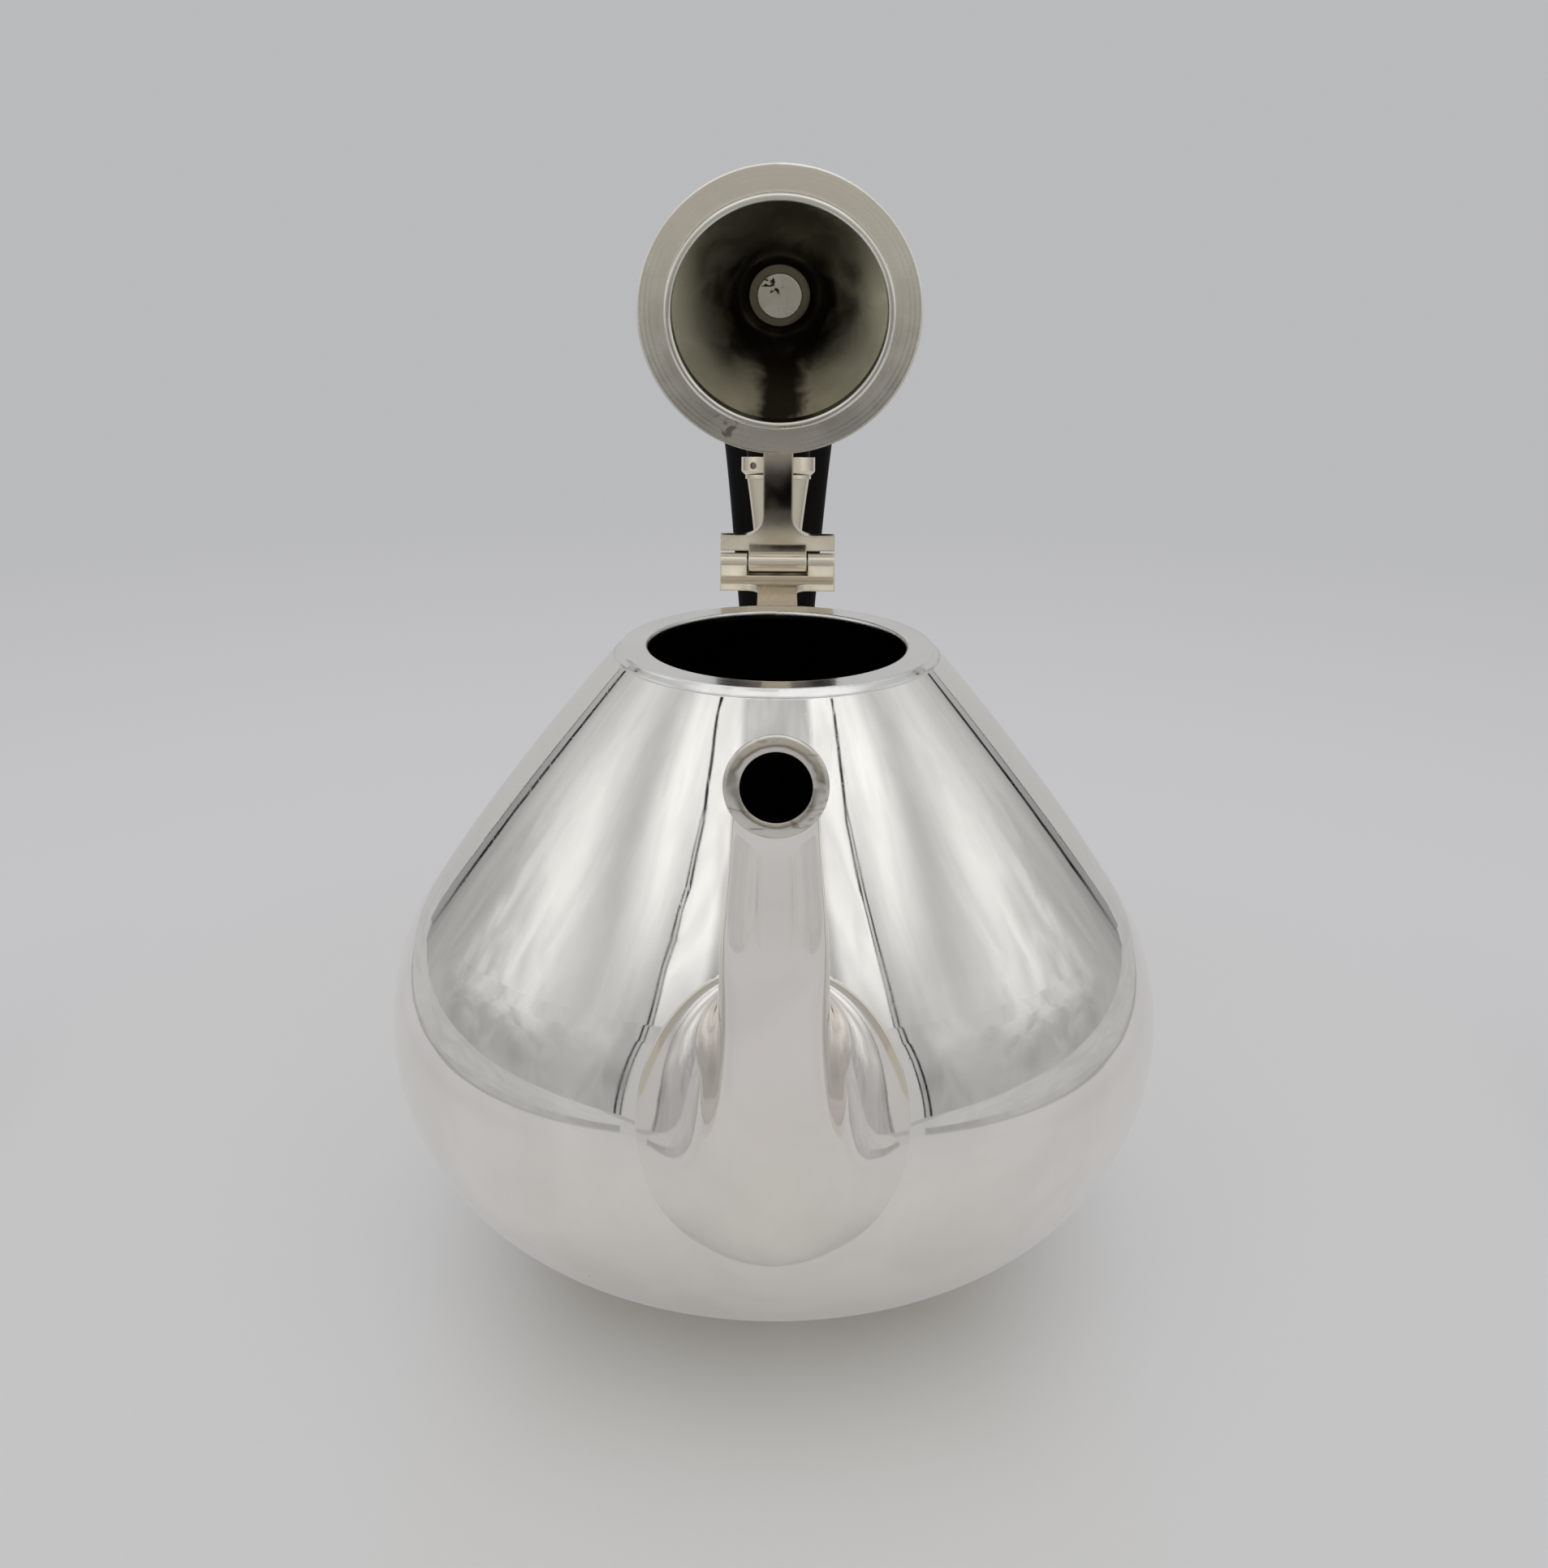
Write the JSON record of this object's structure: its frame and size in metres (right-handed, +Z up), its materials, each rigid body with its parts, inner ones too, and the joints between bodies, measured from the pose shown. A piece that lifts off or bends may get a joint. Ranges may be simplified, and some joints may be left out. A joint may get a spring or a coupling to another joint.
{
  "type": "silver teapot",
  "caption": "Round-bellied silver teapot with a hinged conical lid standing open, a flared spout and a black wooden loop handle.",
  "frame": {"origin": "centre of the flat base, on the pot's axis", "axes": "+Z up along the pot's axis, -Y towards the spout, +Y towards the handle, X along the hinge pin"},
  "size_m": [0.1406, 0.1974, 0.1909],
  "materials": {
    "pot_silver": "polished silver, bright with fine wear",
    "base_silver": "silver, worn under the foot",
    "rim_silver": "polished silver",
    "spout_silver": "polished silver",
    "inner_silver": "tarnished silver",
    "hinge_silver": "silver, slightly yellowed",
    "socket_silver": "polished silver with fine scratches",
    "pin_silver": "dull silver",
    "lid_silver": "polished silver, tarnished inside",
    "grip_wood": "black wood, waxed",
    "knob_wood": "black wood, waxed"
  },
  "bodies": {
    "pot": {"body_shell": "pot_silver", "base_plate": "base_silver", "rim_ring": "rim_silver", "spout_tube": "spout_silver", "spout_lip": "spout_silver", "spout_strainer": "inner_silver", "hinge_body_leaf": "hinge_silver", "hinge_pin": "hinge_silver", "handle_grip": "grip_wood", "upper_socket": "socket_silver", "upper_collar": "socket_silver", "upper_pin": "pin_silver", "lower_socket": "socket_silver", "lower_collar": "socket_silver", "lower_pin": "pin_silver"},
    "lid": {"lid_shell": "lid_silver", "lid_flange": "lid_silver", "lid_bezel": "lid_silver", "hinge_lid_leaf": "hinge_silver", "lid_knob": "knob_wood", "knob_stud": "inner_silver"}
  },
  "joints": [
    {"name": "lid_hinge", "type": "hinge", "parent": "pot", "child": "lid", "pos_m": [0, 0.0492, 0.1145], "axis": [1, 0, 0], "range_deg": [0, 91]}
  ]
}
